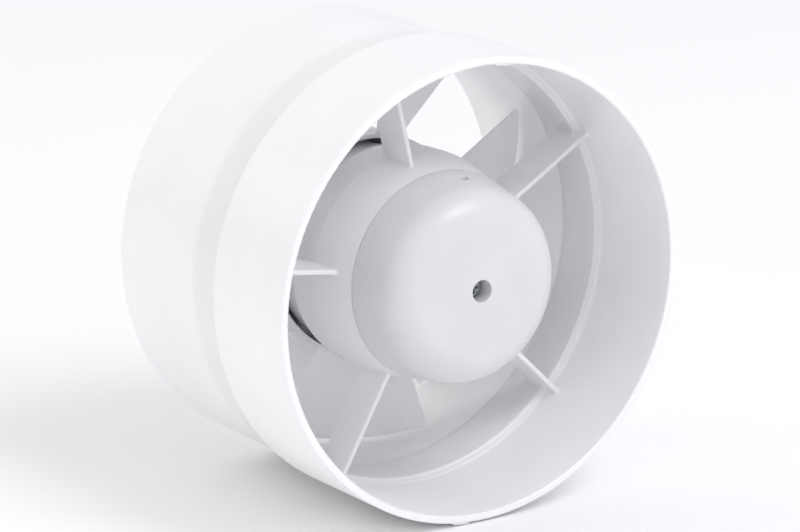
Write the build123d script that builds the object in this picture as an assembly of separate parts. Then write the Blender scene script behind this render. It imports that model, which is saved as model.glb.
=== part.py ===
"""In-line duct extractor fan for 150 mm duct.

The fan's axis is Y: the motor cover faces -Y, the impeller is at the +Y end and Z is up.
The origin is on the axis, in the plane of the shoulder where the wide collar meets the
spigot, so the spigot lies at Y > 0 and the collar at Y < 0. Millimetres throughout.
Angles run from +X towards +Z, as seen from the cover side.
"""
from build123d import *
import os
from math import atan, atan2, cos, degrees, hypot, radians, sin, sqrt, tan

# ---------------------------------------------------------------- casing
spigot_r = 74.0
spigot_wall = 2.0
spigot_length = 61.4
collar_r = 77.0
collar_wall = 2.6
collar_length = 40.4
step_web = 1.6
step_round = 0.8
shoulder_round = 0.4
lap_length = 16.2
lap_skin = 1.0
lap_clearance = 0.05
rim_round = 0.6
key_angle = 84.0
key_proud = 0.5
key_width = 6.0
key_length = 3.0

# ---------------------------------------------------------------- motor pod
cover_setback = 0.9
cover_length = 23.1
cover_draft = 3.8
cover_corner = 12.0
pod_wall = 2.0
pod_seam_r = 35.0
pod_ridge_rise = 3.0
pod_ridge_offset = 18.4
pod_shoulder_rise = 2.7
pod_shoulder_offset = 26.0
pod_rear_rise = 2.2
pod_length = 31.5
seam_gap = 0.25
lip_height = 3.0
lip_wall = 1.2
lip_clearance = 0.1
partition_setback = 4.0
partition_thickness = 2.0
snap_offset = 7.5
snap_width = 3.6
snap_length = 3.0
snap_clearance = 0.2

# ---------------------------------------------------------------- struts
# Their ends are placed from the pod's seam at the pod, and from the shoulder at the wall.
strut_count = 5
strut_first_angle = 28.4
strut_thickness = 1.6
strut_edge_round = 0.5
strut_root_fillet = 0.8
strut_front_at_pod = 7.0
strut_front_at_wall = -6.0
strut_rear_at_pod = 22.3
strut_rear_at_wall = 7.1

# ---------------------------------------------------------------- cover screw, cable entry and clamp
screw_well_r = 3.75
screw_well_depth = 7.2
screw_well_wall = 1.8
screw_well_floor = 2.0
cover_post_wall = 2.6
cover_screw_r = 1.7
cover_screw_length = 14.0
cover_screw_head_r = 3.3
cover_screw_head = 2.2
screw_hole_clearance = 0.25
pilot_extra = 1.0
small_screw_r = 1.45
small_screw_head_r = 2.6
small_screw_head = 1.8
small_screw_length = 8.0
screw_head_round = 0.45
screw_slot_depth = 0.55
screw_slot_reach = 0.6
screw_slot_width = 0.28
screw_point_r = 0.3
screw_tip_chamfer = 0.2
grommet_angle = -38.0
grommet_offset = 15.0
grommet_hole_r = 3.6
grommet_flange_r = 4.8
grommet_bore_r = 2.6
grommet_flange = 1.0
clamp_r = 20.0
clamp_pitch = 17.0
clamp_post_r = 3.0
clamp_post_height = 7.5
clamp_bar = 3.0
clamp_groove_r = 2.2

# ---------------------------------------------------------------- terminal block and motor leads
block_x = -17.0
block_wall = 1.2
block_length = 18.0
block_height = 12.0
pole_pitch = 10.0
insert_size = 5.6
insert_inset = 1.5
insert_bore_r = 1.7
block_screw_length = 12.0
block_screw_depth = 3.0
terminal_screw_r = 1.3
terminal_screw_head_r = 2.0
terminal_screw_head = 1.4
terminal_screw_length = 4.2
terminal_screw_z = 5.0
lead_r = 0.9
lead_hole_r = 4.0
lead_z = 19.0
lead_spread = 2.4
lead_bend = 3.0
lead_rise = 12.5
lead_clearance = 0.1
lead_tail = 1.0

# ---------------------------------------------------------------- motor housing
housing_clearance = 0.45
housing_wall = 1.8
housing_rear_gap = 12.6
housing_screw_count = 3
housing_screw_first_angle = 90.0
housing_boss_r = 3.6
housing_boss_length = 7.0
housing_boss_sink = 0.2
notch_first_angle = 72.0
notch_half_angle = 10.0
notch_depth = 1.0
notch_length = 2.4
shaft_hole_r = 5.0

# ---------------------------------------------------------------- motor
stator_clearance = 1.1
stack_length = 18.0
stack_setback = 13.0
pole_count = 4
pole_first_angle = 45.0
pole_width = 9.0
shoe_thickness = 3.2
shoe_half_angle = 36.0
air_gap = 0.35
bobbin_fit = 0.1
bobbin_wall = 1.0
bobbin_rim = 0.4
winding_build = 3.4
winding_corner = 2.0
shading_start = 16.0
shading_leg_angle = 6.0
shading_overhang = 1.6
shading_inset = 0.5
shading_thickness = 1.6
fuse_r = 2.0
fuse_length = 10.0
fuse_gap = 0.4
bracket_width = 12.0
bracket_bar = 3.0
bracket_reach = 6.6
bracket_clearance = 0.5
bracket_hub_r = 9.8
bracket_floor = 2.0
bearing_r = 5.5
bearing_length = 6.4
felt_r = 8.4
retainer_r = 8.8
retainer_thickness = 0.8
motor_bolt_r = 1.5
motor_bolt_head_r = 2.75
motor_bolt_head = 2.0
motor_bolt_clearance = 0.1
motor_bolt_tail = 1.0
motor_nut_r = 3.1
motor_nut_height = 2.4
motor_washer_r = 3.6
motor_washer_thickness = 0.6
yoke_ligament = 0.6
bush_flange_r = 4.0
bush_neck_r = 2.8
bush_flange = 1.2
bush_clearance = 0.1

# ---------------------------------------------------------------- rotor and impeller
shaft_r = 3.0
running_clearance = 0.03
rotor_r = 14.05
cage_inset = 0.35
cage_bore_r = 8.2
cage_ring = 2.6
cage_bar_count = 17
cage_bar_r = 1.0
cage_bar_circle = 12.2
spacer_r = 5.0
spacer_rise = 0.35
thrust_washer_r = 5.6
thrust_washer_thickness = 0.7
end_float = 0.15
hub_overlap = 6.6
hub_clearance = 2.6
hub_wall = 1.4
hub_taper = 0.6
hub_length = 28.0
hub_web = 2.0
hub_corner = 3.0
hub_boss_r = 7.5
hub_boss_length = 14.0
hub_rib_count = 6
hub_rib_thickness = 1.2
hub_rib_length = 9.0
impeller_bush_r = 5.0
impeller_bush_length = 12.0
push_nut_r = 6.0
push_nut_thickness = 0.8
push_nut_slot_count = 6
push_nut_slot_r = 4.6
push_nut_slot_width = 0.7
shaft_tail = 3.0
shaft_chamfer = 0.5
blade_count = 7
blade_first_angle = 32.0
blade_tip_gap = 1.7
blade_thickness = 1.5
blade_span_angle = 38.7
blade_pitch = 0.84
blade_camber = 0.0056
blade_stations = 9

# ---------------------------------------------------------------- modelling aids
# A cut runs this far past a face, and two places this close are the same place.
past = 1.0
touch = 0.01

# ---------------------------------------------------------------- places along the axis
rim_y = -collar_length
cover_face_y = rim_y + cover_setback
seam_y = cover_face_y + cover_length
ridge_y = seam_y + pod_ridge_offset
pod_rear_y = seam_y + pod_length
partition_y = seam_y + partition_setback
partition_back_y = partition_y + partition_thickness
well_floor_y = cover_face_y + screw_well_depth
post_top_y = well_floor_y + screw_well_floor
snap_y = seam_y - snap_offset
clamp_seat_y = partition_y - clamp_post_height
block_top_y = partition_y - block_height
insert_y = partition_y - block_wall - insert_size / 2
stack_front_y = partition_back_y + stack_setback
stack_rear_y = stack_front_y + stack_length
housing_rear_y = stack_rear_y + housing_rear_gap
housing_floor_y = housing_rear_y - housing_wall
stack_mid_y = (stack_front_y + stack_rear_y) / 2
bracket_inner_y = stack_front_y - bracket_reach
bracket_outer_y = bracket_inner_y - bracket_bar
spacer_end_y = stack_front_y - cage_ring - spacer_rise
washer_end_y = spacer_end_y - thrust_washer_thickness
bearing_inner_y = washer_end_y - end_float
bearing_outer_y = bearing_inner_y - bearing_length
hub_front_y = housing_rear_y - hub_overlap
hub_rear_y = hub_front_y + hub_length
web_y = hub_rear_y - hub_web
bush_start_y = web_y - hub_boss_length
bush_end_y = bush_start_y + impeller_bush_length
shaft_rear_y = hub_rear_y + push_nut_thickness + shaft_tail

# ---------------------------------------------------------------- radii that fit each other
spigot_bore_r = spigot_r - spigot_wall
collar_bore_r = collar_r - collar_wall
rebate_r = spigot_r - lap_skin
sleeve_r = rebate_r - lap_clearance
cover_face_r = pod_seam_r - cover_draft
cover_slope = cover_draft / cover_length
pod_ridge_r = pod_seam_r + pod_ridge_rise
pod_shoulder_r = pod_seam_r + pod_shoulder_rise
pod_rear_r = pod_seam_r + pod_rear_rise
pod_slope = pod_ridge_rise / pod_ridge_offset
partition_r = pod_seam_r + partition_setback * pod_slope - pod_wall / 2
partition_back_r = pod_seam_r + (partition_setback + partition_thickness) * pod_slope - pod_wall
housing_r = partition_back_r - housing_clearance
housing_bore_r = housing_r - housing_wall
housing_screw_circle = housing_bore_r - housing_boss_r + housing_boss_sink
stator_r = housing_bore_r - stator_clearance
motor_bolt_circle = housing_bore_r - bush_flange_r - bush_clearance
yoke_bore_r = motor_bolt_circle - motor_bolt_r - motor_bolt_clearance - yoke_ligament
stator_bore_r = rotor_r + air_gap
shoe_r = stator_bore_r + shoe_thickness
bobbin_overhang = bobbin_fit + bobbin_wall + winding_build + bobbin_rim
bobbin_half = pole_width / 2 + bobbin_overhang
bobbin_inner_x = shoe_r + bobbin_fit
bobbin_outer_x = sqrt((yoke_bore_r - 2 * bobbin_fit) ** 2 - bobbin_half ** 2)
hub_front_r = housing_r + hub_clearance + hub_wall
hub_rear_r = hub_front_r - hub_taper
blade_tip_r = spigot_bore_r - blade_tip_gap


# ---------------------------------------------------------------- building blocks
def turned(points):
    """A solid of revolution about Y from a closed outline of (radius, y) points."""
    return revolve(make_face(Polyline(*points, close=True)), Axis.Y, 360)


def tube(inner_r, outer_r, y0, y1):
    return turned([(inner_r, y0), (outer_r, y0), (outer_r, y1), (inner_r, y1)])


def rod(radius, y0, y1):
    return tube(0, radius, y0, y1)


def block(x0, x1, y0, y1, z0, z1):
    middle = Pos((x0 + x1) / 2, (y0 + y1) / 2, (z0 + z1) / 2)
    return middle * Box(x1 - x0, y1 - y0, z1 - z0)


def turn(shape, angle):
    """Turns a shape about the fan's axis, so that +X goes to the given angle."""
    return shape.rotate(Axis.Y, -angle)


def around(shape, count, first=0.0):
    return [turn(shape, first + index * 360 / count) for index in range(count)]


def sector(inner_r, outer_r, y0, y1, angle0, angle1):
    """The part of a tube between two angles."""
    outline = make_face(Polyline((inner_r, y0), (outer_r, y0), (outer_r, y1), (inner_r, y1), close=True))
    return turn(revolve(outline, Axis.Y, angle1 - angle0), angle1)


def fused(first, others):
    for other in others:
        first = first + other
    return first


def cut(first, others):
    for other in others:
        first = first - other
    return first


def circles_along_axis(shape):
    return shape.edges().filter_by(GeomType.CIRCLE).sort_by(Axis.Y)


def circles_at(shape, y):
    """The circles in one plane across the axis, the smallest first."""
    plane = shape.edges().filter_by(GeomType.CIRCLE).filter_by_position(Axis.Y, y - touch, y + touch)
    return plane.sort_by(SortBy.RADIUS)


def mirrored(shape):
    """The same piece at the other end of the motor."""
    return mirror(shape, about=Plane(origin=(0, stack_mid_y, 0), z_dir=(0, 1, 0)))


def save(name, *solids):
    shape = solids[0] if len(solids) == 1 else Compound(children=list(solids))
    export_step(shape, f"parts/{name}.step")


def save_each(name, solids):
    for number, solid in enumerate(solids, start=1):
        save(f"{name}_{number}", solid)


def pan_screw(radius, length, head_r, head_height, point=True):
    """A cross-head screw. The head's underside is at y = 0 and the shank runs to +Y.

    The head's rounding and its cross are shares of the head's own height and radius.
    """
    head = rod(head_r, -head_height, 0)
    head = fillet(circles_along_axis(head)[0], head_height * screw_head_round)
    tip_length = radius if point else screw_tip_chamfer
    tip_r = screw_point_r if point else radius - screw_tip_chamfer
    shank = turned([(0, 0), (radius, 0), (radius, length - tip_length), (tip_r, length), (0, length)])
    reach = head_r * screw_slot_reach
    half_slot = head_r * screw_slot_width / 2
    floor_y = -head_height * (1 - screw_slot_depth)
    slot = block(-reach, reach, -head_height, floor_y, -half_slot, half_slot)
    return cut(head + shank, [slot, turn(slot, 90)])


# ---------------------------------------------------------------- casing
def front_shell():
    """Collar, shoulder web and the sleeve that plugs into the rear casing."""
    shell = turned([
        (collar_bore_r, rim_y), (collar_r, rim_y), (collar_r, 0), (sleeve_r, 0),
        (sleeve_r, lap_length), (spigot_bore_r, lap_length), (spigot_bore_r, -step_web),
        (collar_bore_r, -step_web)])
    shell = fillet(circles_along_axis(shell)[:2], rim_round)
    shell = fillet(circles_at(shell, -step_web), step_round)
    shell = fillet(circles_at(shell, 0)[-1:], shoulder_round)
    half_angle = degrees(key_width / 2 / collar_r)
    middle_r = collar_r - collar_wall / 2
    keys_y = (rim_y + rim_round, rim_y + key_length)
    top, bottom = key_angle, key_angle + 180
    inner_key = sector(collar_bore_r - key_proud, middle_r, *keys_y, top - half_angle, top + half_angle)
    outer_key = sector(middle_r, collar_r + key_proud, *keys_y, bottom - half_angle, bottom + half_angle)
    return fused(shell, [inner_key, outer_key])


def strut():
    """One flat radial plate, from the middle of the pod's wall to the middle of the casing's."""
    front_root_r = pod_seam_r + strut_front_at_pod * pod_slope - pod_wall / 2
    collar_mid_r = collar_r - collar_wall / 2
    sleeve_mid_r = (spigot_bore_r + sleeve_r) / 2
    outline = Polyline(
        (front_root_r, seam_y + strut_front_at_pod), (collar_mid_r, strut_front_at_wall),
        (collar_mid_r, -step_web / 2), (sleeve_mid_r, -step_web / 2),
        (sleeve_mid_r, strut_rear_at_wall),
        (pod_ridge_r - pod_wall / 2, seam_y + strut_rear_at_pod), close=True)
    plate = extrude(make_face(outline), strut_thickness / 2, both=True)
    flanks = plate.edges().filter_by(lambda edge: abs(edge.center().Z) > touch)
    front = flanks.sort_by(Axis.Y)[:2]
    return fillet(front, strut_edge_round)


def strut_flank(point):
    """How far a point lies from the middle plane of the nearest strut."""
    step = 360 / strut_count
    angle = degrees(atan2(point.Z, point.X)) - strut_first_angle
    return abs(hypot(point.X, point.Z) * sin(radians(angle - step * round(angle / step))))


def strut_roots(body):
    """The edges where the struts' flanks meet the pod and the casing's wall."""
    def is_root(edge):
        middle = edge.center()
        r = hypot(middle.X, middle.Z)
        in_the_airway = pod_ridge_r < r < spigot_bore_r - touch
        return abs(strut_flank(middle) - strut_thickness / 2) < touch and not in_the_airway
    return [edge for edge in body.edges() if is_root(edge)]


def pod_ring():
    """The rear half of the pod, with its locating lip and the partition that carries everything."""
    ring = turned([
        (pod_seam_r, seam_y), (pod_ridge_r, ridge_y),
        (pod_shoulder_r, seam_y + pod_shoulder_offset), (pod_rear_r, pod_rear_y),
        (pod_rear_r - pod_wall, pod_rear_y), (pod_ridge_r - pod_wall, ridge_y),
        (pod_seam_r - pod_wall, seam_y)])
    lip_r = cover_bore_r(seam_y - lip_height) - lip_clearance
    lip = turned([
        (lip_r - lip_wall, seam_y - lip_height), (lip_r, seam_y - lip_height),
        (lip_r, seam_y + lip_wall), (pod_seam_r - pod_wall / 2, seam_y + lip_wall),
        (pod_seam_r - pod_wall / 2, partition_y), (lip_r - lip_wall, partition_y)])
    return fused(ring, [lip, rod(partition_r, partition_y, partition_back_y)])


def cover_bore_r(y):
    """The inner radius of the cover's wall at a place along the axis."""
    return cover_face_r + (y - cover_face_y) * cover_slope - pod_wall


def snap_hook():
    """A tongue inside the cover's wall whose barb stands in the cover's window."""
    front_y = snap_y - snap_length / 2
    tongue_r = cover_bore_r(front_y) - lip_clearance
    half_width = snap_width / 2
    barb_half = half_width - snap_clearance
    barb_reach = snap_length / 2 - snap_clearance
    tongue = block(tongue_r - lip_wall, tongue_r, front_y, seam_y, -half_width, half_width)
    barb_r = cover_bore_r(snap_y) + pod_wall / 2
    barb = block(tongue_r - lip_wall, barb_r, snap_y - barb_reach, snap_y + barb_reach,
                 -barb_half, barb_half)
    return tongue + barb


def clamp_places():
    """The clamp's two screws, either side of the cable's way in."""
    return [Pos(clamp_r, 0, side * clamp_pitch / 2) for side in (-1, 1)]


def at_clamp(shape):
    """A piece at a clamp place, turned to the grommet's side of the pod."""
    return turn(shape, grommet_angle)


def lead_hole():
    return Pos(block_x, 0, lead_z) * rod(lead_hole_r, partition_y - past, partition_back_y + past)


def front_casing():
    cover_post = rod(cover_screw_r + cover_post_wall, post_top_y, partition_y)
    clamp_post = rod(clamp_post_r, clamp_seat_y, partition_y)
    block_post = rod(clamp_post_r, partition_back_y, partition_back_y + block_screw_depth)
    cover_pilot = rod(cover_screw_r, post_top_y - past, well_floor_y + cover_screw_length + pilot_extra)
    small_pilot = rod(small_screw_r, clamp_seat_y - past, partition_y)
    block_pilot = rod(small_screw_r, partition_y - past, partition_back_y + block_screw_depth + past)
    screw_hole = Pos(housing_screw_circle, 0, 0) * rod(
        small_screw_r + screw_hole_clearance, partition_y - past, partition_back_y + past)

    body = fused(front_shell(), around(strut(), strut_count, strut_first_angle))
    body = body + pod_ring()
    body = fillet(strut_roots(body), strut_root_fillet)
    body = fused(body, [turn(snap_hook(), key_angle), turn(snap_hook(), key_angle + 180)])
    body = fused(body, [cover_post, Pos(block_x, 0, 0) * block_post])
    body = fused(body, [at_clamp(place * clamp_post) for place in clamp_places()])
    body = cut(body, [cover_pilot, Pos(block_x, 0, 0) * block_pilot, lead_hole()])
    body = cut(body, [at_clamp(place * small_pilot) for place in clamp_places()])
    return cut(body, around(screw_hole, housing_screw_count, housing_screw_first_angle))


def rear_casing():
    shell = turned([
        (rebate_r, 0), (spigot_r, 0), (spigot_r, spigot_length), (spigot_bore_r, spigot_length),
        (spigot_bore_r, lap_length + lap_clearance), (rebate_r, lap_length + lap_clearance)])
    return fillet(circles_along_axis(shell)[-2:], rim_round)


# ---------------------------------------------------------------- cover, cable entry and clamp
def cover_shape(offset, corner):
    """The cover's solid outline, moved inwards by an offset."""
    front_y = cover_face_y + offset
    rear_y = seam_y - seam_gap if offset == 0 else seam_y
    front_r = cover_face_r + offset * cover_slope - offset
    rear_r = cover_face_r + (rear_y - cover_face_y) * cover_slope - offset
    shape = turned([(0, front_y), (front_r, front_y), (rear_r, rear_y), (0, rear_y)])
    return fillet(circles_along_axis(shape)[0], corner)


def grommet_frame():
    """Turns a piece along Y into one along the outward normal of the cover's wall."""
    wall_y = cover_face_y + grommet_offset
    wall_r = cover_bore_r(wall_y) + pod_wall
    return Pos(wall_r, wall_y, 0) * Rot(0, 0, -90 - degrees(atan(cover_slope)))


def motor_cover():
    shell = cover_shape(0, cover_corner) - cover_shape(pod_wall, cover_corner - pod_wall)
    well = rod(screw_well_r + screw_well_wall, cover_face_y + pod_wall / 2, post_top_y)
    shell = shell + well - rod(screw_well_r, cover_face_y - past, well_floor_y)
    shell = shell - rod(cover_screw_r + screw_hole_clearance, well_floor_y - past, post_top_y + past)
    half_width, half_length = snap_width / 2, snap_length / 2
    window = block(cover_bore_r(snap_y) - pod_wall, pod_seam_r + pod_wall,
                   snap_y - half_length, snap_y + half_length, -half_width, half_width)
    cable_hole = turn(grommet_frame() * rod(grommet_hole_r, -2 * pod_wall, pod_wall), grommet_angle)
    return cut(shell, [turn(window, key_angle), turn(window, key_angle + 180), cable_hole])


def cable_grommet(cover):
    outer_flange = rod(grommet_flange_r, -grommet_flange / 2, grommet_flange)
    neck = rod(grommet_hole_r, -pod_wall - grommet_flange, grommet_flange)
    inner_flange = rod(grommet_flange_r, -pod_wall - grommet_flange, -pod_wall + grommet_flange / 2)
    body = fused(neck, [outer_flange, inner_flange])
    body = body - rod(grommet_bore_r, -2 * pod_wall - grommet_flange, 2 * grommet_flange)
    return turn(grommet_frame() * body, grommet_angle) - cover


def cable_clamp():
    half_length = clamp_pitch / 2 + clamp_post_r
    bar = block(clamp_r - clamp_post_r, clamp_r + clamp_post_r, clamp_seat_y - clamp_bar, clamp_seat_y,
                -half_length, half_length)
    groove = Cylinder(clamp_groove_r, 3 * clamp_post_r, rotation=(0, 90, 0))
    groove = Pos(clamp_r, clamp_seat_y, 0) * groove
    hole = rod(small_screw_r + screw_hole_clearance, clamp_seat_y - clamp_bar - past,
               clamp_seat_y + past)
    return at_clamp(cut(bar, [groove] + [place * hole for place in clamp_places()]))


def clamp_screws():
    screw = pan_screw(small_screw_r, small_screw_length, small_screw_head_r, small_screw_head)
    screw = Pos(0, clamp_seat_y - clamp_bar, 0) * screw
    return [at_clamp(place * screw) for place in clamp_places()]


def cover_screw():
    screw = pan_screw(cover_screw_r, cover_screw_length, cover_screw_head_r, cover_screw_head)
    return Pos(0, well_floor_y, 0) * screw


# ---------------------------------------------------------------- terminal block and motor leads
def pole_places():
    return [Pos(block_x + side * pole_pitch / 2, 0, 0) for side in (-1, 1)]


def insert_blank():
    half = insert_size / 2
    length = block_length / 2 - insert_inset
    return block(-half, half, insert_y - half, insert_y + half, -length, length)


def terminal_places():
    return [Pos(0, 0, side * terminal_screw_z) for side in (-1, 1)]


def terminal_block():
    half_width = pole_pitch / 2 + insert_size / 2 + block_wall
    half_length = block_length / 2
    recess_y = partition_y + partition_thickness + block_screw_depth - block_screw_length
    body = block(block_x - half_width, block_x + half_width, block_top_y, partition_y,
                 -half_length, half_length)
    head_hole = rod(small_screw_head_r + screw_hole_clearance, block_top_y - past, recess_y)
    shank_hole = rod(small_screw_r + screw_hole_clearance, block_top_y, partition_y + past)
    body = cut(body, [Pos(block_x, 0, 0) * hole for hole in (head_hole, shank_hole)])
    wire_way = Pos(0, insert_y, 0) * Cylinder(insert_bore_r, 2 * block_length)
    driver_hole = rod(terminal_screw_head_r + screw_hole_clearance / 2, block_top_y - past, insert_y)
    for pole in pole_places():
        body = cut(body, [pole * insert_blank(), pole * wire_way])
        body = cut(body, [pole * place * driver_hole for place in terminal_places()])
    return body


def terminal_insert():
    blank = insert_blank() - Pos(0, insert_y, 0) * Cylinder(insert_bore_r, 2 * block_length)
    thread = rod(terminal_screw_r, insert_y - insert_size, insert_y)
    return cut(blank, [place * thread for place in terminal_places()])


def terminal_screws():
    screw = pan_screw(terminal_screw_r, terminal_screw_length, terminal_screw_head_r,
                      terminal_screw_head, point=False)
    tip_y = insert_y - lead_r - lead_clearance
    screw = Pos(0, tip_y - terminal_screw_length, 0) * screw
    return [pole * place * screw for pole in pole_places() for place in terminal_places()]


def block_screw():
    screw = pan_screw(small_screw_r, block_screw_length, small_screw_head_r, small_screw_head)
    head_y = partition_back_y + block_screw_depth - block_screw_length
    return Pos(block_x, head_y, 0) * screw


def motor_lead(side):
    """One insulated lead, from a coil through the partition and into its terminal."""
    coil_y = stack_mid_y - stack_length / 2 - bobbin_overhang - lead_clearance
    near_x = block_x + side * lead_spread / 2
    pole_x = block_x + side * pole_pitch / 2
    route = FilletPolyline(
        (near_x, coil_y, lead_z), (near_x, insert_y, lead_z), (pole_x, insert_y, lead_rise),
        (pole_x, insert_y, terminal_screw_z - terminal_screw_r - lead_tail), radius=lead_bend)
    start = Plane(origin=(near_x, coil_y, lead_z), z_dir=(0, -1, 0))
    return sweep(start * Circle(lead_r), path=route)


# ---------------------------------------------------------------- motor housing and its fixings
def bolt_places():
    return [Pos(side * motor_bolt_circle, 0, 0) for side in (-1, 1)]


def motor_housing():
    drum = tube(housing_bore_r, housing_r, partition_back_y, housing_rear_y)
    drum = drum + rod(housing_r, housing_floor_y, housing_rear_y)
    boss = Pos(housing_screw_circle, 0, 0) * rod(
        housing_boss_r, partition_back_y, partition_back_y + housing_boss_length)
    pilot = Pos(housing_screw_circle, 0, 0) * rod(
        small_screw_r, partition_back_y - past, partition_y + small_screw_length + pilot_extra / 2)
    notch = sector(housing_r - notch_depth, housing_r + past, housing_rear_y - notch_length,
                   housing_rear_y + past, -notch_half_angle, notch_half_angle)
    neck_hole = rod(bush_neck_r, housing_floor_y - past, housing_rear_y + past)
    drum = fused(drum, around(boss, housing_screw_count, housing_screw_first_angle))
    drum = cut(drum, around(pilot, housing_screw_count, housing_screw_first_angle))
    drum = cut(drum, around(notch, strut_count, notch_first_angle))
    drum = cut(drum, [place * neck_hole for place in bolt_places()])
    return drum - rod(shaft_hole_r, housing_floor_y - past, housing_rear_y + past)


def housing_screws():
    screw = pan_screw(small_screw_r, small_screw_length, small_screw_head_r, small_screw_head)
    screw = Pos(housing_screw_circle, partition_y, 0) * screw
    return around(screw, housing_screw_count, housing_screw_first_angle)


def vibration_bush():
    """A rubber bush that grips both faces of the housing's floor."""
    return turned([
        (motor_bolt_r, housing_floor_y - bush_flange), (bush_flange_r, housing_floor_y - bush_flange),
        (bush_flange_r, housing_floor_y), (bush_neck_r, housing_floor_y),
        (bush_neck_r, housing_rear_y), (bush_flange_r, housing_rear_y),
        (bush_flange_r, housing_rear_y + bush_flange), (motor_bolt_r, housing_rear_y + bush_flange)])


def motor_fixings():
    """Bolts, washers and nuts, one list of each."""
    washer_y = housing_rear_y + bush_flange
    nut_y = washer_y + motor_washer_thickness
    length = nut_y + motor_nut_height + motor_bolt_tail - bracket_outer_y
    bolt = pan_screw(motor_bolt_r, length, motor_bolt_head_r, motor_bolt_head, point=False)
    bolt = Pos(0, bracket_outer_y, 0) * bolt
    washer = tube(motor_bolt_r, motor_washer_r, washer_y, nut_y)
    hexagon = Plane(origin=(0, nut_y, 0), z_dir=(0, 1, 0)) * RegularPolygon(motor_nut_r, 6)
    nut = extrude(hexagon, motor_nut_height)
    nut = nut - rod(motor_bolt_r, nut_y - past, nut_y + motor_nut_height + past)
    return [[place * piece for place in bolt_places()] for piece in (bolt, washer, nut)]


# ---------------------------------------------------------------- motor
def shading_ring():
    """A copper loop round the trailing part of one pole shoe."""
    inner_r = stator_bore_r + shading_inset
    outer_r = inner_r + shading_thickness
    end = shoe_half_angle + shading_leg_angle
    loop = sector(inner_r, outer_r, stack_front_y - shading_overhang, stack_rear_y + shading_overhang,
                  shading_start, end)
    return loop - sector(inner_r - past, outer_r + past, stack_front_y, stack_rear_y,
                         shading_start + shading_leg_angle, shoe_half_angle)


def stator_core():
    yoke = tube(yoke_bore_r, stator_r, stack_front_y, stack_rear_y)
    half = pole_width / 2
    pole = block((stator_bore_r + shoe_r) / 2, (yoke_bore_r + stator_r) / 2,
                 stack_front_y, stack_rear_y, -half, half)
    shoe = sector(stator_bore_r, shoe_r, stack_front_y, stack_rear_y, -shoe_half_angle, shoe_half_angle)
    core = fused(yoke, around(pole + shoe, pole_count, pole_first_angle))
    core = cut(core, around(shading_ring(), pole_count, pole_first_angle))
    bolt_hole = rod(motor_bolt_r + motor_bolt_clearance, stack_front_y - past, stack_rear_y + past)
    return cut(core, [place * bolt_hole for place in bolt_places()])


def frame_round_pole(x0, x1, inner, outer):
    """A rectangular ring round a pole; inner and outer are the growths beyond the pole's iron."""
    half_width = pole_width / 2
    solid = block(x0, x1, stack_front_y - outer, stack_rear_y + outer,
                  -half_width - outer, half_width + outer)
    hole = block(x0 - past, x1 + past, stack_front_y - inner, stack_rear_y + inner,
                 -half_width - inner, half_width + inner)
    return solid - hole


def bobbin():
    core_outer = bobbin_fit + bobbin_wall
    core = frame_round_pole(bobbin_inner_x, bobbin_outer_x, bobbin_fit, core_outer)
    rims = [frame_round_pole(x0, x0 + bobbin_wall, bobbin_fit, bobbin_overhang)
            for x0 in (bobbin_inner_x, bobbin_outer_x - bobbin_wall)]
    return fused(core, rims)


def winding():
    core_outer = bobbin_fit + bobbin_wall
    coil = frame_round_pole(bobbin_inner_x + bobbin_wall, bobbin_outer_x - bobbin_wall,
                            core_outer, core_outer + winding_build)
    corners = coil.edges().filter_by(Axis.X).group_by(lambda edge: round(abs(edge.center().Z), 2))[-1]
    return fillet(corners, winding_corner)


def thermal_fuse():
    radius = shoe_r + fuse_gap + fuse_r
    body = rod(fuse_r, stack_mid_y - fuse_length / 2, stack_mid_y + fuse_length / 2)
    return turn(Pos(radius, 0, 0) * body, 90)


def bracket():
    """The bridge-shaped bearing bracket in front of the stack."""
    reach = stator_r + bracket_clearance
    half = bracket_width / 2
    bar = block(-reach, reach, bracket_outer_y, bracket_inner_y, -half, half)
    legs = [block(*sorted((side * yoke_bore_r, side * reach)), bracket_inner_y, stack_front_y,
                  -half, half) for side in (-1, 1)]
    bridge = fused(bar, legs) & rod(reach, bracket_outer_y, stack_front_y)
    floor_y = bearing_inner_y - bracket_floor
    bridge = bridge + rod(bracket_hub_r, bearing_outer_y, bearing_inner_y)
    bridge = bridge - rod(bearing_r, bearing_outer_y - past, bearing_inner_y + past)
    bridge = bridge - rod(felt_r, bearing_outer_y - past, floor_y)
    bridge = bridge - rod(retainer_r, bearing_outer_y - past, bearing_outer_y + retainer_thickness)
    bolt_hole = rod(motor_bolt_r + motor_bolt_clearance, bracket_outer_y - past, stack_front_y + past)
    return cut(bridge, [place * bolt_hole for place in bolt_places()])


def bearing():
    return tube(shaft_r + running_clearance, bearing_r, bearing_outer_y, bearing_inner_y)


def felt():
    return tube(bearing_r, felt_r, bearing_outer_y + retainer_thickness, bearing_inner_y - bracket_floor)


def retainer():
    return tube(bearing_r, retainer_r, bearing_outer_y, bearing_outer_y + retainer_thickness)


# ---------------------------------------------------------------- rotor
def rotor_shaft():
    shaft = rod(shaft_r, bearing_outer_y, shaft_rear_y)
    return chamfer(circles_along_axis(shaft), shaft_chamfer)


def push_nut():
    """A spring-steel ring whose slotted bore grips the shaft behind the hub."""
    ring = tube(shaft_r, push_nut_r, hub_rear_y, hub_rear_y + push_nut_thickness)
    half_width = push_nut_slot_width / 2
    slot = block(0, push_nut_slot_r, hub_rear_y - past, hub_rear_y + 2 * past, -half_width, half_width)
    return cut(ring, around(slot, push_nut_slot_count))


def rotor_cage():
    """Two cast end rings joined by the bars that run through the core."""
    ring = tube(cage_bore_r, rotor_r - cage_inset, stack_front_y - cage_ring, stack_front_y)
    bar = Pos(cage_bar_circle, 0, 0) * rod(cage_bar_r, stack_front_y - past, stack_rear_y + past)
    return fused(ring + mirrored(ring), around(bar, cage_bar_count))


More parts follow.
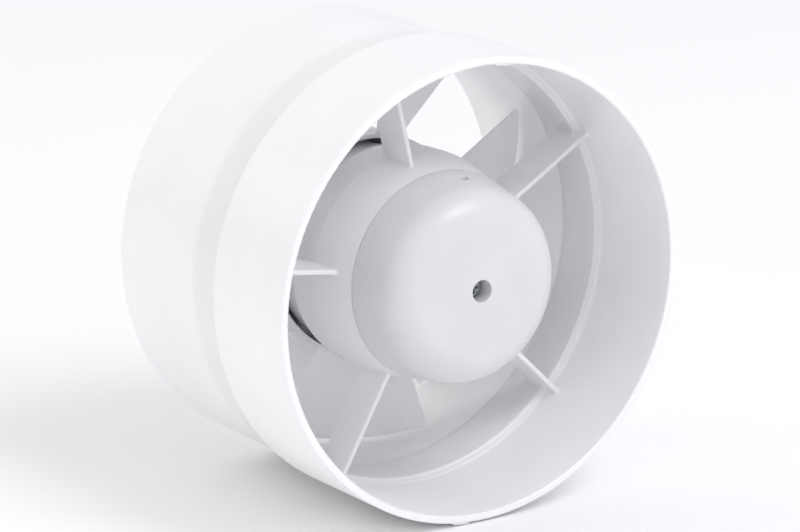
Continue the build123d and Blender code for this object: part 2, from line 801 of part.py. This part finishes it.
def rotor_core():
    core = tube(shaft_r, rotor_r, stack_front_y, stack_rear_y)
    bar = Pos(cage_bar_circle, 0, 0) * rod(cage_bar_r, stack_front_y - past, stack_rear_y + past)
    return cut(core, around(bar, cage_bar_count))


def spacer():
    return tube(shaft_r, spacer_r, spacer_end_y, stack_front_y)


def thrust_washer():
    return tube(shaft_r, thrust_washer_r, washer_end_y, spacer_end_y)


# ---------------------------------------------------------------- impeller
def blade_section(distance):
    """A cambered strip in the flat plane at this distance from the axis.

    Every point of the mean line lies on a radial line, so two such sections span a
    blade whose leading and trailing edges are radial.
    """
    half = blade_thickness / 2
    sides = ([], [])
    ends = []
    for station in range(blade_stations):
        angle = blade_span_angle * station / (blade_stations - 1)
        away = radians(angle - blade_span_angle / 2)
        y = hub_front_y + blade_pitch * angle - blade_camber * angle ** 2
        z = -distance * tan(away)
        slope = blade_pitch - 2 * blade_camber * angle
        run = Vector(0, slope, -radians(distance) / cos(away) ** 2).normalized()
        across = Vector(0, -run.Z, run.Y) * half
        middle = Vector(distance, y, z)
        sides[0].append(middle + across)
        sides[1].append(middle - across)
        ends.append((middle, run * half))
    nose = ends[0][0] - ends[0][1]
    tail = ends[-1][0] + ends[-1][1]
    return Wire([
        Edge.make_spline(sides[0]),
        Edge.make_three_point_arc(sides[0][-1], tail, sides[1][-1]),
        Edge.make_spline(sides[1][::-1]),
        Edge.make_three_point_arc(sides[1][0], nose, sides[0][0])])


def blade():
    root_r = hub_front_r - hub_wall
    widest = cos(radians(blade_span_angle / 2))
    sections = [blade_section(root_r * widest - past), blade_section(blade_tip_r + past)]
    body = Solid.make_loft(sections, ruled=True)
    ring = tube(hub_rear_r - hub_wall / 2, blade_tip_r, hub_front_y - blade_thickness, hub_rear_y)
    return turn(body & ring, blade_first_angle - blade_span_angle / 2)


def impeller():
    outside = turned([(0, hub_front_y), (hub_front_r, hub_front_y),
                      (hub_rear_r, hub_rear_y), (0, hub_rear_y)])
    outside = fillet(circles_along_axis(outside)[-1], hub_corner)
    inside = turned([(0, hub_front_y - past), (hub_front_r - hub_wall, hub_front_y - past),
                     (hub_rear_r - hub_wall, web_y), (0, web_y)])
    inside = fillet(circles_along_axis(inside)[-1], hub_corner - hub_wall)
    hub = outside - inside
    boss = rod(hub_boss_r, web_y - hub_boss_length, web_y + hub_web / 2)
    rib = block(impeller_bush_r + past, hub_rear_r - hub_wall / 2, web_y - hub_rib_length,
                web_y + hub_web / 2, -hub_rib_thickness / 2, hub_rib_thickness / 2)
    hub = fused(hub, [boss] + around(rib, hub_rib_count))
    hub = hub - rod(impeller_bush_r, bush_start_y - past, bush_end_y)
    hub = hub - rod(shaft_r, bush_start_y, hub_rear_y + past)
    return fused(hub, around(blade(), blade_count))


def main():
    os.makedirs("parts", exist_ok=True)
    cover = motor_cover()
    save("front_casing", front_casing())
    save("rear_casing", rear_casing())
    save("motor_cover", cover)
    save("cover_screw", cover_screw())
    save("cable_grommet", cable_grommet(cover))
    save("cable_clamp", cable_clamp())
    save("clamp_screws", *clamp_screws())
    save("terminal_block", terminal_block())
    save_each("terminal_insert", [pole * terminal_insert() for pole in pole_places()])
    save("terminal_screws", *terminal_screws())
    save("terminal_block_screw", block_screw())
    save("lead_wire_live", motor_lead(1))
    save("lead_wire_neutral", motor_lead(-1))

    bolts, washers, nuts = motor_fixings()
    save("motor_housing", motor_housing())
    save("housing_screws", *housing_screws())
    save_each("vibration_bush", [place * vibration_bush() for place in bolt_places()])
    save("motor_bolts", *bolts)
    save("motor_washers", *washers)
    save("motor_nuts", *nuts)

    save("stator_core", stator_core())
    save_each("coil_bobbin", around(bobbin(), pole_count, pole_first_angle))
    save_each("coil_winding", around(winding(), pole_count, pole_first_angle))
    save_each("shading_ring", around(shading_ring(), pole_count, pole_first_angle))
    save("thermal_fuse", thermal_fuse())
    for name, piece in (("bearing_bracket", bracket()), ("sleeve_bearing", bearing()),
                        ("oil_felt", felt()), ("felt_retainer", retainer())):
        save(f"front_{name}", piece)
        save(f"rear_{name}", mirrored(piece))

    save("rotor_shaft", rotor_shaft())
    save("rotor_core", rotor_core())
    save("rotor_cage", rotor_cage())
    for name, piece in (("spacer", spacer()), ("thrust_washer", thrust_washer())):
        save(f"front_{name}", piece)
        save(f"rear_{name}", mirrored(piece))
    save("impeller", impeller())
    save("impeller_bush", tube(shaft_r, impeller_bush_r, bush_start_y, bush_end_y))
    save("push_nut", push_nut())


main()
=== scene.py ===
import math

import bmesh
import bpy
from mathutils import Matrix, Vector


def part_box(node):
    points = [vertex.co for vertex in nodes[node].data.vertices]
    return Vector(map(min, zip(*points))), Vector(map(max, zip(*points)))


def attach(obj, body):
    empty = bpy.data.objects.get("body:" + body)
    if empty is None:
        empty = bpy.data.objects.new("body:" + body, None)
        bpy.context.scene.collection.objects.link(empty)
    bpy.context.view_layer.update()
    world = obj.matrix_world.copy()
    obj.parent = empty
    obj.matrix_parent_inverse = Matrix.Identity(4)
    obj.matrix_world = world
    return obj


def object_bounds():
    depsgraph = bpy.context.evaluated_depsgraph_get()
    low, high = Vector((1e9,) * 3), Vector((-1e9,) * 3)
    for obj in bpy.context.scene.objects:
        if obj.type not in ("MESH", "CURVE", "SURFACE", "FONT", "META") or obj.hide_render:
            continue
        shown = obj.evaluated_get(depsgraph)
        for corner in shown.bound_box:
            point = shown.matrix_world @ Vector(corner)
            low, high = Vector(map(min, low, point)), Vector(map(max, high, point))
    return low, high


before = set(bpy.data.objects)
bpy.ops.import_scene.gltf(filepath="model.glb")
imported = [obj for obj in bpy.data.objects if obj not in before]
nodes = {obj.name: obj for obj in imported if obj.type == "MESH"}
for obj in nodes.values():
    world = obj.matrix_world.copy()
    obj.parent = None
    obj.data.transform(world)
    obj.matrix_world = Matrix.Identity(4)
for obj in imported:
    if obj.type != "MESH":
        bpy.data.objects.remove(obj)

MM = 0.001
QUARTER = math.radians(90)
cad_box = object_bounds()
low, high = cad_box
axis_middle = (low + high) / 2


# ---------------------------------------------------------------- small helpers
def colour(hex_value):
    """A linear RGBA colour from an sRGB hex value such as "F2F1EE"."""
    channels = [int(hex_value[i:i + 2], 16) / 255 for i in (0, 2, 4)]
    linear = [c / 12.92 if c <= 0.04045 else ((c + 0.055) / 1.055) ** 2.4 for c in channels]
    return (*linear, 1.0)


def per_metre(size_mm):
    """The texture scale whose pattern repeats about once in this many millimetres."""
    return 1 / (size_mm * MM)


def add(tree, kind, inputs=None, out=0, stops=(), **settings):
    """Adds a shader node with its settings, values, links and colour stops; gives an output."""
    node = tree.nodes.new("ShaderNode" + kind)
    for name, value in settings.items():
        setattr(node, name, value)
    for name, value in (inputs or {}).items():
        if isinstance(value, bpy.types.NodeSocket):
            tree.links.new(value, node.inputs[name])
        else:
            node.inputs[name].default_value = value
    for number, (position, hex_value) in enumerate(stops):
        node.color_ramp.elements[number].position = position
        node.color_ramp.elements[number].color = colour(hex_value)
    return node.outputs[out]


def new_material(name, base, **sockets):
    """A material with its shader's plain values: (material, node tree, Object coordinates)."""
    material = bpy.data.materials.new(name)
    material.use_nodes = True
    tree = material.node_tree
    shader = tree.nodes["Principled BSDF"]
    shader.inputs["Base Color"].default_value = colour(base)
    for socket, value in sockets.items():
        shader.inputs[socket.replace("_", " ")].default_value = value
    return material, tree, add(tree, "TexCoord", out="Object")


def feed(tree, **sockets):
    """Links outputs to the sockets of the material's shader."""
    shader = tree.nodes["Principled BSDF"]
    for socket, output in sockets.items():
        tree.links.new(output, shader.inputs[socket.replace("_", " ")])


# ---------------------------------------------------------------- finishes
# Every pattern's colours meet between these two shares of its strength.
DARK_STOP, LIGHT_STOP = 0.35, 0.65
# A pattern's usual fineness, and how rough its finer layers are.
DETAIL, FALLOFF = 3.0, 0.55
FLOW_MM, FLOW_DEPTH = 22.0, 0.02 * MM
GRAIN_DEPTH, GRAIN_FALLOFF = 0.002 * MM, 0.6
GLOW_DEPTH, GLOW_SHARE = 3.0 * MM, 0.35
CLOUD_MM, STREAK_DEPTH, STREAK_LENGTHWAYS = 3.0, 0.01 * MM, 0.12
SHEET_MM, SHEET_EDGE_DEPTH, STAIN_MM = 0.5, 0.12 * MM, 6.0
CASTING_CLOUD_MM, PIT_DEPTH = 4.0, 0.02 * MM
TINT_MM, ENAMEL_MM, ENAMEL_DEPTH = 2.5, 0.45, 0.02 * MM
BLOOM_MM, RUBBER_GRAIN_MM, RUBBER_DEPTH = 5.0, 0.6, 0.015 * MM
FIBRE_MM, FIBRE_FALLOFF, FIBRE_DEPTH, OIL_MM = 0.5, 0.75, 0.25 * MM, 5.0


def moulded_plastic(name, dark, light, rough=0.33, grain_mm=0.9):
    """Injection-moulded plastic: an even, slightly translucent skin with slow flow marks.

    The faint spark-eroded grain is really about 0.1 mm; it is drawn coarser so that it shows.
    """
    material, tree, place = new_material(
        name, light, IOR=1.53, Subsurface_Weight=GLOW_SHARE,
        Subsurface_Radius=(1.0, 1.0, 1.0), Subsurface_Scale=GLOW_DEPTH)
    flow = add(tree, "TexNoise", {
        "Vector": place, "Scale": per_metre(FLOW_MM), "Detail": 2.0, "Roughness": FALLOFF})
    grain = add(tree, "TexNoise", {
        "Vector": place, "Scale": per_metre(grain_mm), "Detail": 4.0, "Roughness": GRAIN_FALLOFF})
    tint = add(tree, "ValToRGB", {"Fac": flow}, stops=((DARK_STOP, dark), (LIGHT_STOP, light)))
    both = add(tree, "Math", {0: flow, 1: grain}, operation="MULTIPLY")
    dull = add(tree, "MapRange", {"Value": both, "To Min": rough - 0.05, "To Max": rough + 0.12})
    skin = add(tree, "Bump", {"Height": grain, "Distance": GRAIN_DEPTH, "Strength": 0.5})
    face = add(tree, "Bump", {
        "Height": flow, "Distance": FLOW_DEPTH, "Strength": 0.15, "Normal": skin})
    feed(tree, Base_Color=tint, Roughness=dull, Normal=face)
    return material


def plated_steel(name, dark, light, rough=0.3, streak_mm=0.5):
    """Plated or drawn steel: bright, slightly cloudy, with fine drawing marks along the axis."""
    material, tree, place = new_material(name, light, Metallic=1.0)
    stretched = add(tree, "Mapping", {"Vector": place, "Scale": (1.0, STREAK_LENGTHWAYS, 1.0)})
    cloud = add(tree, "TexNoise", {
        "Vector": place, "Scale": per_metre(CLOUD_MM), "Detail": DETAIL, "Roughness": FALLOFF})
    streak = add(tree, "TexNoise", {
        "Vector": stretched, "Scale": per_metre(streak_mm), "Detail": 2.0, "Roughness": FALLOFF})
    tint = add(tree, "ValToRGB", {"Fac": cloud}, stops=((DARK_STOP, dark), (LIGHT_STOP, light)))
    dull = add(tree, "MapRange", {"Value": streak, "To Min": rough - 0.08, "To Max": rough + 0.15})
    marks = add(tree, "Bump", {"Height": streak, "Distance": STREAK_DEPTH, "Strength": 0.5})
    feed(tree, Base_Color=tint, Roughness=dull, Normal=marks)
    return material


def laminated_steel(name):
    """A stack of punched electrical-steel sheets, one line for each sheet along Y."""
    material, tree, place = new_material(name, "6E7074", Metallic=1.0)
    along = add(tree, "SeparateXYZ", {"Vector": place}, out="Y")
    count = add(tree, "Math", {0: along, 1: per_metre(SHEET_MM)}, operation="MULTIPLY")
    edge = add(tree, "Math", {0: count, 1: 1.0}, operation="PINGPONG")
    stain = add(tree, "TexNoise", {
        "Vector": place, "Scale": per_metre(STAIN_MM), "Detail": DETAIL, "Roughness": FALLOFF})
    tint = add(tree, "ValToRGB", {"Fac": stain},
               stops=((DARK_STOP, "5C5D61"), (LIGHT_STOP, "7F8186")))
    dull = add(tree, "MapRange", {"Value": stain, "To Min": 0.38, "To Max": 0.6})
    lines = add(tree, "Bump", {"Height": edge, "Distance": SHEET_EDGE_DEPTH, "Strength": 0.8})
    feed(tree, Base_Color=tint, Roughness=dull, Normal=lines)
    return material


def cast_metal(name, dark, light, rough=0.45, pit_mm=0.7):
    """Cast, sintered or turned metal with fine pits."""
    material, tree, place = new_material(name, light, Metallic=1.0)
    pits = add(tree, "TexVoronoi", {"Vector": place, "Scale": per_metre(pit_mm)}, out="Distance")
    cloud = add(tree, "TexNoise", {
        "Vector": place, "Scale": per_metre(CASTING_CLOUD_MM), "Detail": DETAIL,
        "Roughness": FALLOFF})
    tint = add(tree, "ValToRGB", {"Fac": cloud}, stops=((DARK_STOP, dark), (LIGHT_STOP, light)))
    dull = add(tree, "MapRange", {"Value": cloud, "To Min": rough - 0.1, "To Max": rough + 0.1})
    dents = add(tree, "Bump", {"Height": pits, "Distance": PIT_DEPTH, "Strength": 0.5})
    feed(tree, Base_Color=tint, Roughness=dull, Normal=dents)
    return material


def enamelled_copper(name):
    """Enamelled magnet wire: warm copper under a glossy clear enamel."""
    material, tree, place = new_material(
        name, "A8512C", Metallic=1.0, Coat_Weight=0.8, Coat_Roughness=0.12, Coat_IOR=1.55)
    cloud = add(tree, "TexNoise", {
        "Vector": place, "Scale": per_metre(TINT_MM), "Detail": DETAIL, "Roughness": FALLOFF})
    enamel = add(tree, "TexNoise", {
        "Vector": place, "Scale": per_metre(ENAMEL_MM), "Detail": DETAIL, "Roughness": FALLOFF})
    tint = add(tree, "ValToRGB", {"Fac": cloud},
               stops=((DARK_STOP, "8E3F20"), (LIGHT_STOP, "C06A3C")))
    dull = add(tree, "MapRange", {"Value": cloud, "To Min": 0.25, "To Max": 0.4})
    waves = add(tree, "Bump", {"Height": enamel, "Distance": ENAMEL_DEPTH, "Strength": 0.4})
    feed(tree, Base_Color=tint, Roughness=dull, Normal=waves)
    return material


def soft_rubber(name, dark, light, rough=0.6):
    """Moulded rubber or soft PVC: dull, with a very fine bloom."""
    material, tree, place = new_material(name, light, IOR=1.52)
    bloom = add(tree, "TexNoise", {
        "Vector": place, "Scale": per_metre(BLOOM_MM), "Detail": DETAIL, "Roughness": FALLOFF})
    grain = add(tree, "TexNoise", {
        "Vector": place, "Scale": per_metre(RUBBER_GRAIN_MM), "Detail": 4.0,
        "Roughness": FALLOFF})
    tint = add(tree, "ValToRGB", {"Fac": bloom}, stops=((DARK_STOP, dark), (LIGHT_STOP, light)))
    dull = add(tree, "MapRange", {"Value": bloom, "To Min": rough - 0.08, "To Max": rough + 0.1})
    skin = add(tree, "Bump", {"Height": grain, "Distance": RUBBER_DEPTH, "Strength": 0.5})
    feed(tree, Base_Color=tint, Roughness=dull, Normal=skin)
    return material


def pressed_felt(name):
    """Wool felt soaked in oil: matted fibres, darker where the oil has gathered."""
    material, tree, place = new_material(
        name, "B9AE93", IOR=1.5, Sheen_Weight=0.35, Sheen_Roughness=0.5)
    fibres = add(tree, "TexNoise", {
        "Vector": place, "Scale": per_metre(FIBRE_MM), "Detail": 8.0, "Roughness": FIBRE_FALLOFF})
    oil = add(tree, "TexNoise", {
        "Vector": place, "Scale": per_metre(OIL_MM), "Detail": DETAIL, "Roughness": FALLOFF})
    tint = add(tree, "ValToRGB", {"Fac": oil},
               stops=((DARK_STOP, "8D805F"), (LIGHT_STOP, "C4BAA1")))
    dull = add(tree, "MapRange", {"Value": fibres, "To Min": 0.75, "To Max": 0.95})
    mat = add(tree, "Bump", {"Height": fibres, "Distance": FIBRE_DEPTH, "Strength": 0.9})
    feed(tree, Base_Color=tint, Roughness=dull, Normal=mat)
    return material


WHITE_ABS = moulded_plastic("abs_moulded_white", "F4F4F4", "F7F7F7")
# Painted shade: the motor cover is the same white moulding as the casing, coloured greyer so that
# its front face looks less lit.
SHADED_COVER_ABS = moulded_plastic("abs_cover_painted_shade", "DCDDDE", "E1E1E2")
IMPELLER_PP = moulded_plastic("polypropylene_moulded", "F7F8F9", "FAFAFB", rough=0.42)
HOUSING_ABS = moulded_plastic("abs_moulded_drum", "F1F2F4", "F5F6F7", rough=0.45)
NYLON = moulded_plastic("nylon_natural", "D8D2C2", "E4DFD2", rough=0.45, grain_mm=0.6)
FIBRE = moulded_plastic("vulcanised_fibre", "6E3F2A", "8A5136", rough=0.6, grain_mm=0.5)
PVC_BROWN = moulded_plastic("pvc_sleeve_brown", "4A2B1C", "5A3523", rough=0.42, grain_mm=0.6)
PVC_BLUE = moulded_plastic("pvc_sleeve_blue", "1D4E92", "285DA6", rough=0.42, grain_mm=0.6)
GROMMET_PVC = soft_rubber("soft_pvc_pale", "D9DBDD", "E6E7E8", rough=0.5)
BLACK_RUBBER = soft_rubber("rubber_black", "17171A", "242427", rough=0.65)
ZINC_STEEL = plated_steel("steel_zinc_plated", "A9ABAD", "CDCFD0")
GROUND_STEEL = plated_steel("steel_ground", "A4A6A9", "C2C4C6", rough=0.2, streak_mm=0.3)
PRESSED_STEEL = plated_steel("steel_pressed", "9EA0A3", "BDBFC1", rough=0.38)
SHEET_STACK = laminated_steel("electrical_steel_stack")
CAST_ALUMINIUM = cast_metal("aluminium_die_cast", "A9ABAE", "C9CBCC")
BRONZE = cast_metal("bronze_sintered", "7D5B34", "A07A48", rough=0.5, pit_mm=0.4)
BRASS = cast_metal("brass_turned", "B08D4C", "CFAE69", rough=0.3)
COPPER = cast_metal("copper_bare", "A5603C", "C98058", rough=0.35)
FUSE_CASE = cast_metal("tinned_case", "A8AAA9", "C6C8C6", rough=0.35)
MAGNET_WIRE = enamelled_copper("copper_enamelled_wire")
FELT = pressed_felt("felt_oiled")

FINISHES = {
    "front_casing": WHITE_ABS, "rear_casing": WHITE_ABS, "motor_cover": SHADED_COVER_ABS,
    "impeller": IMPELLER_PP, "motor_housing": HOUSING_ABS,
    "cable_grommet": GROMMET_PVC, "vibration_bush": BLACK_RUBBER,
    "cable_clamp": NYLON, "terminal_block": NYLON, "coil_bobbin": NYLON,
    "front_spacer": NYLON, "rear_spacer": NYLON,
    "front_thrust_washer": FIBRE, "rear_thrust_washer": FIBRE,
    "lead_wire_live": PVC_BROWN, "lead_wire_neutral": PVC_BLUE,
    "cover_screw": ZINC_STEEL, "clamp_screws": ZINC_STEEL, "housing_screws": ZINC_STEEL,
    "terminal_screws": ZINC_STEEL, "terminal_block_screw": ZINC_STEEL,
    "motor_bolts": ZINC_STEEL, "motor_washers": ZINC_STEEL, "motor_nuts": ZINC_STEEL,
    "rotor_shaft": GROUND_STEEL, "push_nut": PRESSED_STEEL,
    "front_bearing_bracket": PRESSED_STEEL, "rear_bearing_bracket": PRESSED_STEEL,
    "front_felt_retainer": PRESSED_STEEL, "rear_felt_retainer": PRESSED_STEEL,
    "stator_core": SHEET_STACK, "rotor_core": SHEET_STACK, "rotor_cage": CAST_ALUMINIUM,
    "front_sleeve_bearing": BRONZE, "rear_sleeve_bearing": BRONZE,
    "terminal_insert": BRASS, "impeller_bush": BRASS,
    "shading_ring": COPPER, "coil_winding": MAGNET_WIRE, "thermal_fuse": FUSE_CASE,
    "front_oil_felt": FELT, "rear_oil_felt": FELT,
}


def finish_of(name):
    """A numbered piece, such as coil_bobbin_3, takes the finish of its family."""
    return FINISHES.get(name) or FINISHES[name.rstrip("0123456789").rstrip("_")]


def dress_nodes():
    for name, obj in nodes.items():
        material = finish_of(name)
        if not obj.material_slots:
            obj.data.materials.append(material)
        for slot in obj.material_slots:
            slot.material = material


# ---------------------------------------------------------------- wire on the coils
# The sizes are those of the CAD windings for a pole along +X.
COIL_COUNT = 4
COIL_TURNS = 8
COIL_INNER_X, COIL_OUTER_X = 18.7 * MM, 22.4 * MM
COIL_FRONT_Y, COIL_REAR_Y = -1.9 * MM, 25.1 * MM
COIL_HALF = 9.0 * MM
COIL_CORNER = 2.0 * MM
WIRE_R = 0.22 * MM
WIRE_SIDES = 8
CORNER_STEPS = 4
MERGE = 0.001 * MM


def wire_turn(mesh, x):
    """One turn round a coil: a small circle drawn along the straights and spun at the corners."""
    front, rear = COIL_FRONT_Y + COIL_CORNER, COIL_REAR_Y - COIL_CORNER
    side = COIL_HALF - COIL_CORNER
    place = Matrix.Translation((x, front, COIL_HALF)) @ Matrix.Rotation(QUARTER, 4, "X")
    start = bmesh.ops.create_circle(
        mesh, segments=WIRE_SIDES, radius=WIRE_R, matrix=place)["verts"]
    edges = [edge for edge in mesh.edges if edge.verts[0] in start]
    runs = (((0, rear - front, 0), (x, rear, side)), ((0, 0, -2 * side), (x, rear, -side)),
            ((0, front - rear, 0), (x, front, -side)), ((0, 0, 2 * side), (x, front, side)))
    for straight, corner in runs:
        drawn = bmesh.ops.extrude_edge_only(mesh, edges=edges)["geom"]
        verts = [part for part in drawn if isinstance(part, bmesh.types.BMVert)]
        bmesh.ops.translate(mesh, verts=verts, vec=straight)
        edges = [part for part in drawn if isinstance(part, bmesh.types.BMEdge)
                 and all(vert in verts for vert in part.verts)]
        spun = bmesh.ops.spin(mesh, geom=verts + edges, cent=corner, axis=(1, 0, 0),
                              angle=-QUARTER, steps=CORNER_STEPS)["geom_last"]
        edges = [part for part in spun if isinstance(part, bmesh.types.BMEdge)]


def coil_turns(number):
    """The outer layer of turns on one coil, turned to that coil's pole."""
    mesh = bmesh.new()
    pitch = (COIL_OUTER_X - COIL_INNER_X) / COIL_TURNS
    for turn in range(COIL_TURNS):
        wire_turn(mesh, COIL_INNER_X + (turn + 0.5) * pitch)
    bmesh.ops.remove_doubles(mesh, verts=mesh.verts, dist=MERGE)
    bmesh.ops.recalc_face_normals(mesh, faces=mesh.faces)
    near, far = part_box(f"coil_winding_{number}")
    middle = (Vector(near) + Vector(far)) / 2
    pole = Matrix.Rotation(-math.atan2(middle.z, middle.x), 4, "Y")
    bmesh.ops.transform(mesh, matrix=pole, verts=mesh.verts)
    for face in mesh.faces:
        face.smooth = True
    data = bpy.data.meshes.new(f"coil_turns_{number}")
    mesh.to_mesh(data)
    mesh.free()
    data.materials.append(MAGNET_WIRE)
    turns = bpy.data.objects.new(f"coil_turns_{number}", data)
    bpy.context.scene.collection.objects.link(turns)
    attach(turns, "casing")


# ---------------------------------------------------------------- floor, light and camera
FLOOR_HALF = 6.0
FLOOR_GAP = 0.2 * MM
PAPER_CLOUD_MM = 400.0
SURROUND_STRENGTH = 0.84
SENSOR_MM, LENS_MM = 36.0, 262.45
EYE = (-1.0251, -1.5121, 0.5199)
EYE_RIGHT, EYE_UP = (0.8290, -0.5592, 0.0), (0.1533, 0.2273, 0.9617)
FAR_CLIP = 20.0


def floor():
    """A wide pale sheet just under the fan."""
    mesh = bmesh.new()
    bmesh.ops.create_grid(mesh, x_segments=2, y_segments=2, size=FLOOR_HALF)
    data = bpy.data.meshes.new("floor")
    mesh.to_mesh(data)
    mesh.free()
    sheet = bpy.data.objects.new("floor", data)
    sheet.location = (0, 0, low.z - FLOOR_GAP)
    material, tree, place = new_material("studio_paper_pale", "FDFDFD", Roughness=0.9)
    cloud = add(tree, "TexNoise", {
        "Vector": place, "Scale": per_metre(PAPER_CLOUD_MM), "Detail": DETAIL,
        "Roughness": FALLOFF})
    feed(tree, Base_Color=add(tree, "ValToRGB", {"Fac": cloud},
                              stops=((DARK_STOP, "FBFBFB"), (LIGHT_STOP, "FEFEFE"))))
    data.materials.append(material)
    bpy.context.scene.collection.objects.link(sheet)


def soft_light(name, place, target, size, power, tint):
    """A round soft box of this width in metres and power in watts, turned to its target."""
    data = bpy.data.lights.new(name, "AREA")
    data.shape = "DISK"
    data.size = size
    data.energy = power
    data.color = colour(tint)[:3]
    lamp = bpy.data.objects.new(name, data)
    lamp.location = place
    lamp.rotation_euler = (Vector(target) - Vector(place)).to_track_quat("-Z", "Y").to_euler()
    bpy.context.scene.collection.objects.link(lamp)


def studio():
    """A pale surround, a high light into the mouth, a warm one behind and a weak blue one low."""
    world = bpy.data.worlds.new("studio")
    world.use_nodes = True
    background = world.node_tree.nodes["Background"]
    background.inputs["Color"].default_value = colour("F7F8FC")
    background.inputs["Strength"].default_value = SURROUND_STRENGTH
    bpy.context.scene.world = world
    soft_light("mouth", (0.6, -1.5, 2.0), (0, low.y, 0), 1.2, 20.0, "FDFCFF")
    soft_light("rear", (-1.3, 1.1, 0.9), axis_middle, 1.0, 4.0, "FFEEDC")
    soft_light("cool", (-0.9, -1.5, 0.1), axis_middle, 0.6, 0.8, "7FAEFF")
    bpy.context.scene.view_settings.view_transform = "Standard"


def camera():
    """A long lens from the front left, a little above the fan."""
    data = bpy.data.cameras.new("camera")
    data.sensor_width = SENSOR_MM
    data.lens = LENS_MM
    data.clip_end = FAR_CLIP
    eye = bpy.data.objects.new("camera", data)
    right, up = Vector(EYE_RIGHT), Vector(EYE_UP)
    turn = Matrix((right, up, right.cross(up))).transposed().to_4x4()
    eye.matrix_world = Matrix.Translation(EYE) @ turn
    bpy.context.scene.collection.objects.link(eye)
    bpy.context.scene.camera = eye


dress_nodes()
for number in range(1, COIL_COUNT + 1):
    coil_turns(number)
floor()
studio()
camera()
